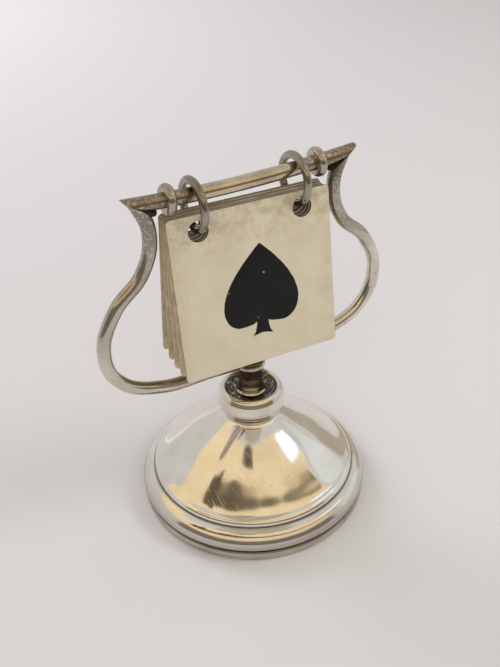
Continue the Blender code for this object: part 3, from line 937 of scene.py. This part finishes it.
# %% Stop collars
STOP_X = 17.1
STOP_HALF_WIDTH = 1.0
STOP_GAP = 0.05
STOP_BORE = BAR_RADIUS + STOP_GAP
STOP_LINE = [(2.1, 1.0), (2.55, 0.98), (2.95, 0.72), (3.2, 0.0), (2.95, -0.72), (2.55, -0.98), (2.1, -1.0)]
STOP_FLOW_STEPS = 5
STOP_TURN_STEPS = 72
stop_line = flowing(STOP_LINE, STOP_FLOW_STEPS)
stop_line = [(STOP_BORE, STOP_HALF_WIDTH)] + stop_line + [(STOP_BORE, -STOP_HALF_WIDTH)]
for side, word in HANDS:
    stop = turned(word + "_stop_collar_silver", stop_line, STOP_SILVER, STOP_TURN_STEPS)
    place = Vector((side * STOP_X, 0, bar_height(STOP_X))) * MM
    lay_along = Matrix.Rotation(math.pi / 2 - bar_slope(side * STOP_X), 4, "Y")
    stop.data.transform(Matrix.Translation(place) @ lay_along)
    hand_over(stop, "stand", "polished_silver", word + "_stop_collar")

# %% [markdown]
# The rings are the same drawn wire, thinner, bent round and closed. A torus would do, but the
# wire tree already gives the right section. Their centre height is the height of the leaves'
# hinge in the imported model.

# %% Rings
RING_X = 11.7
RING_RADIUS = 5.0
RING_WIRE_RADIUS = 0.87
RING_POINTS = 72
RING_SIDES = 20
hinge = next(j for j in frame["joints"] if j["name"] == "leaf_3_swing")
RING_Z = hinge["pos_m"][2] / MM
for side, word in HANDS:
    path = [(side * RING_X, RING_RADIUS * math.sin(a), RING_Z + RING_RADIUS * math.cos(a))
            for a in full_circle(RING_POINTS)]
    ring = wire(word + "_ring_silver", path, RING_WIRE_RADIUS, RING_SILVER, RING_SIDES, cyclic=True)
    hand_over(ring, "rings", "dulled_silver_wire", word + "_ring")

# %% [markdown]
# Each leaf is a flat sheet with small round corners and two punched holes. A filled 2D curve
# gives the outline and the holes at once, and a very small bevel takes the sharpness off, as
# years of handling do. A sheet cut from a solid block would also do, at more cost.

# %% Sheet helper
BEVEL_STEPS = 2


def flat_piece(name, outlines, thickness, softening=0.0):
    """A sheet in the XY plane from closed outlines in millimetres; inner outlines become holes."""
    curve = bpy.data.curves.new(name, "CURVE")
    curve.dimensions = "2D"
    curve.fill_mode = "BOTH"
    curve.extrude = (thickness / 2 - softening) * MM
    curve.bevel_depth = softening * MM
    curve.bevel_resolution = BEVEL_STEPS
    curve.offset = -softening * MM
    for outline in outlines:
        spline = curve.splines.new("POLY")
        spline.points.add(len(outline) - 1)
        spline.use_cyclic_u = True
        for knot, (x, y) in zip(spline.points, outline):
            knot.co = (x * MM, y * MM, 0, 1)
    piece = bake(add_object(name, curve))
    tidy_faces(piece)
    return piece


print("softened sheet edges have", BEVEL_STEPS, "bevel steps")

# %% [markdown]
# The five leaves fan out from the middle one and hang a little askew on the rings, as loose
# leaves do. A simulation could drop them there, but then they would not lie where the packed
# leaves do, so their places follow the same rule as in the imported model.

# %% Leaf places and outlines
LEAF_CORNER = 0.9
CORNER_STEPS = 6
HOLE_RADIUS = 2.18
HOLE_STEPS = 48
HOLE_FROM_TOP = 3.5
HOLE_DROP = 0.55
LEAF_PITCH = 1.05
LEAF_FAN = math.radians(4.3)
PACK_YAW = math.radians(-3.5)
LEAVES = ["leaf_1_spade", "leaf_2_heart", "leaf_3_diamond", "leaf_4_club", "leaf_5_no_trump"]


def leaf_layout(number):
    """Where leaf number 0 to 4 sits: its matrix and the local height of its top edge."""
    forward = (len(LEAVES) - 1) / 2 - number
    tilt = forward * LEAF_FAN
    lean = math.asin(forward * LEAF_PITCH / RING_RADIUS) - tilt
    hole_y = -RING_RADIUS * math.cos(lean) - HOLE_DROP
    matrix = (Matrix.Translation((0, 0, RING_Z * MM)) @ Matrix.Rotation(PACK_YAW, 4, "Z")
              @ Matrix.Rotation(math.pi / 2 - tilt, 4, "X")
              @ Matrix.Translation((0, 0, RING_RADIUS * math.sin(lean) * MM)))
    return matrix, hole_y + HOLE_FROM_TOP


def arc(cx, cy, radius, start, end, steps):
    angles = [start + (end - start) * i / steps for i in range(steps + 1)]
    return [(cx + radius * math.cos(a), cy + radius * math.sin(a)) for a in angles]


def leaf_outlines(top):
    x = LEAF_WIDTH / 2 - LEAF_CORNER
    high = top - LEAF_CORNER
    low = top - LEAF_HEIGHT + LEAF_CORNER
    sheet = []
    for quarter, (cx, cy) in enumerate([(x, high), (-x, high), (-x, low), (x, low)]):
        start = math.pi / 2 * quarter
        sheet += arc(cx, cy, LEAF_CORNER, start, math.pi / 2 * (quarter + 1), CORNER_STEPS)
    hole_y = top - HOLE_FROM_TOP
    holes = [arc(side * RING_X, hole_y, HOLE_RADIUS, 0, math.tau, HOLE_STEPS)[:-1] for side in (-1, 1)]
    return [sheet] + holes


print("leaf tops above the hinge, mm:", [round(leaf_layout(i)[1], 2) for i in range(len(LEAVES))])

# %% [markdown]
# Faces and cut edges get their own finish, told apart by the way they point. A UV map in leaf
# widths, made while the sheet still lies flat, tells the finish where the top and the sides are.

# %% Leaves
LEAF_THICKNESS = 0.55
LEAF_SOFTENING = 0.07
FACE_FLATNESS = 0.95


def map_leaf(mesh, top):
    layer = mesh.uv_layers.new(name="leaf")
    for loop in mesh.loops:
        x, y, _ = mesh.vertices[loop.vertex_index].co / MM
        layer.data[loop.index].uv = (x / LEAF_WIDTH + 0.5, (y - top + LEAF_HEIGHT) / LEAF_WIDTH)


for number, name in enumerate(LEAVES):
    matrix, top = leaf_layout(number)
    leaf = flat_piece(name + "_sheet", leaf_outlines(top), LEAF_THICKNESS, LEAF_SOFTENING)
    map_leaf(leaf.data, top)
    # The inner leaves get more brown at their sides: painted shade between the leaves, over their stains.
    stain_and_shade = INNER_SIDE_STAIN_AND_SHADE if number else FRONT_SIDE_STAIN
    dress(leaf, celluloid("rolled_celluloid_leaf_%d" % (number + 1), number, stain_and_shade))
    leaf.data.materials.append(LEAF_EDGE)
    for face in leaf.data.polygons:
        face.material_index = 0 if abs(face.normal.z) > FACE_FLATNESS else 1
    leaf.data.transform(matrix)
    hand_over(leaf, "leaf_%d" % (number + 1), "cream_celluloid_sheet", name)

# %% [markdown]
# The suits are traditional figures. Each is drawn with cubic arcs down one half, from the top
# point to the middle of the foot, and mirrored. A figure could also be traced point by point,
# but few arcs keep the curves clean.

# %% Suit outlines
ARC_STEPS = 14


def cubic_arc(points):
    """Points along an arc from its two ends and two handles, without its last point."""
    a, b, c, d = (Vector(p) for p in points)
    line = []
    for i in range(ARC_STEPS):
        t = i / ARC_STEPS
        s = 1 - t
        line.append(tuple(a * s ** 3 + b * (3 * t * s ** 2) + c * (3 * t * t * s) + d * t ** 3))
    return line


def mirrored(arcs):
    """A closed outline from the arcs of its right half."""
    right = [p for one in arcs for p in cubic_arc(one)] + [arcs[-1][-1]]
    left = [(-x, y) for x, y in reversed(right[1:-1])]
    return right + left


SPADE_ARCS = [
    [(0, 9.35), (1.9, 7.6), (8.3, 2.0), (8.8, -3.7)],
    [(8.8, -3.7), (8.95, -6.6), (7.4, -9.0), (5.0, -9.0)],
    [(5.0, -9.0), (3.6, -9.0), (2.2, -8.85), (1.37, -8.3)],
    [(1.37, -8.3), (1.4, -9.6), (1.75, -10.8), (2.45, -11.6)],
    [(2.45, -11.6), (1.5, -11.3), (0.7, -11.1), (0, -11.05)],
]
HEART_ARCS = [
    [(0, 6.0), (1.6, 9.6), (8.4, 9.8), (8.5, 4.0)],
    [(8.5, 4.0), (8.5, -1.6), (2.6, -5.6), (0, -10.0)],
]
DIAMOND_ARCS = [
    [(0, 10.4), (1.9, 6.2), (4.4, 2.6), (7.4, 0)],
    [(7.4, 0), (4.4, -2.6), (1.9, -6.2), (0, -10.4)],
]
CLUB_ARCS = [
    [(0, 10.0), (5.4, 10.0), (5.6, 3.6), (2.2, 1.7)],
    [(2.2, 1.7), (5.4, 3.2), (9.0, 1.0), (8.8, -2.6)],
    [(8.8, -2.6), (8.4, -6.8), (2.8, -7.2), (1.0, -3.8)],
    [(1.0, -3.8), (0.9, -7.0), (1.5, -9.4), (2.7, -10.6)],
    [(2.7, -10.6), (1.4, -10.1), (0.6, -9.9), (0, -9.9)],
]
SUITS = {
    "spade": (mirrored(SPADE_ARCS), BLACK_INK), "heart": (mirrored(HEART_ARCS), RED_INK),
    "diamond": (mirrored(DIAMOND_ARCS), RED_INK), "club": (mirrored(CLUB_ARCS), BLACK_INK),
}
print("suit outlines:", {suit: len(outline) for suit, (outline, ink) in SUITS.items()})

# %% [markdown]
# Block printing leaves a film of ink a few hundredths of a millimetre thick with a slightly
# uneven edge, and the block was not set quite square. The figures could be masks in the leaf's
# finish, but a film of its own keeps a crisp edge. The leaf for no trumps has the four suits
# small.

# %% Printing
INK_THICKNESS = 0.02
INK_PROUD = 0.6
EDGE_WANDER = 0.09
EDGE_WANDER_SIZE = 1.3
WANDER_LEVEL = 0.7
PRINT_TURN = math.radians(-2.5)
PRINT_CENTRE = (0.85, -0.15)
QUARTER = 6.4
FULL_SUIT = 1.0
SMALL_SUIT = 0.5


def uneven(outline):
    """The outline with each point moved a little by smooth noise."""
    moved = []
    for x, y in outline:
        shift = noise.noise_vector(Vector((x, y, WANDER_LEVEL)) / EDGE_WANDER_SIZE)
        moved.append((x + shift.x * EDGE_WANDER, y + shift.y * EDGE_WANDER))
    return moved


def print_suit(leaf_number, suit, centre, size, label):
    outline, ink = SUITS[suit]
    matrix, top = leaf_layout(leaf_number)
    middle = Vector((centre[0], centre[1] + top - LEAF_HEIGHT / 2, 0))
    turn = Matrix.Rotation(PRINT_TURN, 3, "Z") * size
    points = [(turn @ Vector((x, y, 0)) + middle)[:2] for x, y in outline]
    figure = flat_piece(label, [uneven(points)], INK_THICKNESS)
    dress(figure, ink)
    lift = (LEAF_THICKNESS / 2 + INK_THICKNESS * INK_PROUD) * MM
    figure.data.transform(matrix @ Matrix.Translation((0, 0, lift)))
    hand_over(figure, "leaf_%d" % (leaf_number + 1), "cream_celluloid_sheet")


for number, suit in enumerate(SUITS):
    print_suit(number, suit, PRINT_CENTRE, FULL_SUIT, suit + "_print")
for i, suit in enumerate(SUITS):
    corner = (QUARTER * (-1 if i % 2 == 0 else 1), QUARTER * (1 if i < 2 else -1))
    print_suit(len(LEAVES) - 1, suit, corner, SMALL_SUIT, "no_trump_" + suit + "_print")

# %% [markdown]
# Baize is a felted wool cloth. The pad under the plate is cut round and glued, so it lies flat
# and shows only from below. It could be simulated as cloth, but glued cloth doesn't move, so a
# turned disc with a softened edge is enough.

# %% Baize pad
PAD_RADIUS = 23.9
PAD_BOTTOM = 0.2
PAD_TOP = 0.7
PAD_EDGE = 0.15
PAD_EDGE_RISE = 0.1
pad_line = [
    (0, PAD_BOTTOM), (PAD_RADIUS - PAD_EDGE, PAD_BOTTOM), (PAD_RADIUS, PAD_BOTTOM + PAD_EDGE_RISE),
    (PAD_RADIUS, PAD_TOP - PAD_EDGE_RISE), (PAD_RADIUS - PAD_EDGE, PAD_TOP), (0, PAD_TOP),
]
pad = turned("baize_pad", pad_line, BAIZE, closed=False)
hand_over(pad, "stand", "green_baize", "base_baize")

# %% [markdown]
# The stage is a plain pale table that runs out of view on all sides, under an even pale sky.
# The sky that lights the object is a little dimmer than the one that the camera and the silver
# see. A curved backdrop would also do, but a wide table looks the same from every side.

# %% Table and sky
TABLE_SIZE = 4.0
TABLE_ROUGHNESS = 0.8
SKY_LIGHT = 0.62
bpy.ops.mesh.primitive_plane_add(size=TABLE_SIZE)
table = bpy.context.object
table.name = "pale_table"
table_finish, table_tree = start_material("pale_matt_table")
finish_material(table_tree, {"Base Color": rgba("#DCD6D0"), "Roughness": TABLE_ROUGHNESS})
dress(table, table_finish)

world = bpy.data.worlds.new("pale room")
bpy.context.scene.world = world
world.use_nodes = True
sky = world.node_tree
sky.nodes.clear()
ray = add_node(sky, "ShaderNodeLightPath")
mirror = add_node(sky, "ShaderNodeMath", {
    0: ray["Is Glossy Ray"], 1: ray["Is Transmission Ray"]}, operation="MAXIMUM")[0]
seen = add_node(sky, "ShaderNodeMath", {0: ray["Is Camera Ray"], 1: mirror}, operation="MAXIMUM")[0]
lighting = add_node(sky, "ShaderNodeBackground", {"Color": rgba("#F8F8FA"), "Strength": SKY_LIGHT})[0]
backdrop = add_node(sky, "ShaderNodeBackground", {"Color": rgba("#D2D0CC"), "Strength": 1.0})[0]
mixed = add_node(sky, "ShaderNodeMixShader", {0: seen, 1: lighting, 2: backdrop})[0]
add_node(sky, "ShaderNodeOutputWorld", {"Surface": mixed})
print("table:", table.name, "sky light:", SKY_LIGHT)

# %% [markdown]
# Three soft lamps do the rest. A lamp on the right stands for a window, a broad lamp in front
# fills the faces of the leaves, and one behind on the left brightens the far corner of the
# table. Silver doesn't show the lamps, because it gets a room of its own to reflect.

# %% Lamps
def area_lamp(name, place, target, size, power, colour):
    lamp = bpy.data.lights.new(name, "AREA")
    lamp.shape = "RECTANGLE"
    lamp.size, lamp.size_y = size
    lamp.energy = power
    lamp.color = rgba(colour)[:3]
    item = add_object(name, lamp)
    item.visible_glossy = False
    item.location = place
    item.rotation_euler = (Vector(target) - Vector(place)).to_track_quat("-Z", "Y").to_euler()


OBJECT_MIDDLE = (0, 0, 0.04)
area_lamp("window_light", place=(0.286, -0.186, 0.381), target=OBJECT_MIDDLE, size=(0.17, 0.15),
          power=0.6, colour="#F4F8FF")
area_lamp("front_fill", place=(-0.35, -0.6, 0.5), target=OBJECT_MIDDLE, size=(0.7, 0.5),
          power=1.7, colour="#FFFBF4")
area_lamp("back_fill", place=(-0.2, 0.68, 0.45), target=(0.06, 0.58, 0), size=(0.4, 0.4),
          power=3.2, colour="#E8ECFF")

# %% [markdown]
# Silver shows its room. Cards that only reflections see stand round the object on a wide
# sphere, and each is an outline of directions: degrees round from the front, positive to the
# right, and degrees up. A warm ceiling hangs over the front, and a few darker and lighter
# shapes break it up, as furniture and windows do. A picture of a room would also do, but cards
# need no file and are placed one by one.

# %% Reflected room
CARD_DISTANCE = 0.6
CARD_CENTRE = Vector((0, 0, 0.015))
CARD_STEP = 0.05
WINDOW_STRENGTH = 1.6
CEILING = [
    (-145, 38, 46), (-135, 30, 52), (-115, 28, 52), (-90, 28, 61), (-65, 28, 66), (-40, 28, 67),
    (-15, 28, 67), (10, 28, 66), (35, 29, 61), (55, 31, 54), (72, 36, 42),
]
FRONT_WALL = [(around, -4, 27) for around in range(-100, 46, 29)]
RIGHT_WALL = [(96, -4, 12), (120, -4, 24), (145, -4, 18)]
RIGHT_WINDOW = [(58, 8, 29), (76, 8, 32), (94, 12, 30)]
FURNITURE = [
    (-97, 38, 45), (-92, 38, 47), (-89, 40, 53), (-84, 42, 48), (-75, 44, 50), (-64, 46, 54), (-43, 48, 54),
    (-20, 49, 53), (10, 46, 49), (37, 41, 43), (60, 32, 34),
]
WINDOW = [(50, 46, 53), (60, 42, 51), (68, 39, 46), (76, 36, 41)]
LAMP_SHADE = [(-60, 63, 65), (-45, 63, 67), (-30, 63, 66)]
ZENITH = [(around, 68, 89) for around in range(0, 361, 30)]


def direction(around, up):
    a = math.radians(around)
    e = math.radians(up)
    return Vector((math.sin(a) * math.cos(e), -math.cos(a) * math.cos(e), math.sin(e)))


def reflected_card(name, strips, hex_colour, nearer=0.0, strength=1.0):
    """A card from (degrees round, lowest, highest) strips, each joined to the next."""
    reach = CARD_DISTANCE - nearer
    points = [CARD_CENTRE + direction(around, up) * reach for around, *ups in strips for up in ups]
    faces = [(2 * i, 2 * i + 2, 2 * i + 3, 2 * i + 1) for i in range(len(strips) - 1)]
    mesh = bpy.data.meshes.new(name)
    mesh.from_pydata(points, [], faces)
    card = add_object(name, mesh)
    material, tree = start_material(name)
    finish_material(tree, {
        "Base Color": rgba("#000000"), "Specular IOR Level": 0.0,
        "Emission Color": rgba(hex_colour), "Emission Strength": strength})
    dress(card, material)
    card.visible_camera = False
    card.visible_diffuse = False
    card.visible_shadow = False


reflected_card("warm_ceiling_card", CEILING, "#F8E0B8")
reflected_card("front_wall_card", FRONT_WALL, "#857C6F")
reflected_card("right_wall_card", RIGHT_WALL, "#B5AC9D")
reflected_card("right_window_card", RIGHT_WINDOW, "#E0E3E1")
reflected_card("window_card", WINDOW, "#E4F0FF", CARD_STEP, WINDOW_STRENGTH)
reflected_card("furniture_card", FURNITURE, "#5E5443", CARD_STEP)
reflected_card("lamp_shade_card", LAMP_SHADE, "#3A3128", CARD_STEP)
reflected_card("zenith_card", ZENITH, "#B9AF9D")

# %% [markdown]
# The camera looks down at the front from the left, about twenty centimetres away, and is rolled
# a little. Its place, angles and lens come from fitting the base, the knop and the wire to the
# photograph. Three turns say where it looks: round from straight ahead, down, and the roll.

# %% Camera
CAMERA_PLACE = Vector((-72.21, -131.37, 146.73)) * MM
CAMERA_AROUND = math.radians(28.84)
CAMERA_DOWN = math.radians(34.4)
CAMERA_ROLL = math.radians(-1.6)
FOCAL_PIXELS = 805.9
IMAGE_HEIGHT = 667
SENSOR_MM = 36.0
CLIP_START = 0.005
camera_data = bpy.data.cameras.new("camera")
camera_data.sensor_width = SENSOR_MM
camera_data.lens = FOCAL_PIXELS * SENSOR_MM / IMAGE_HEIGHT
camera_data.clip_start = CLIP_START
view = Matrix.Translation(CAMERA_PLACE)
for angle, axis in ((-CAMERA_AROUND, "Z"), (math.pi / 2 - CAMERA_DOWN, "X"), (CAMERA_ROLL, "Z")):
    view = view @ Matrix.Rotation(angle, 4, axis)
camera = add_object("camera", camera_data)
camera.matrix_world = view
bpy.context.scene.camera = camera
bpy.context.scene.view_settings.view_transform = "Standard"
print("lens:", round(camera_data.lens, 2), "mm")
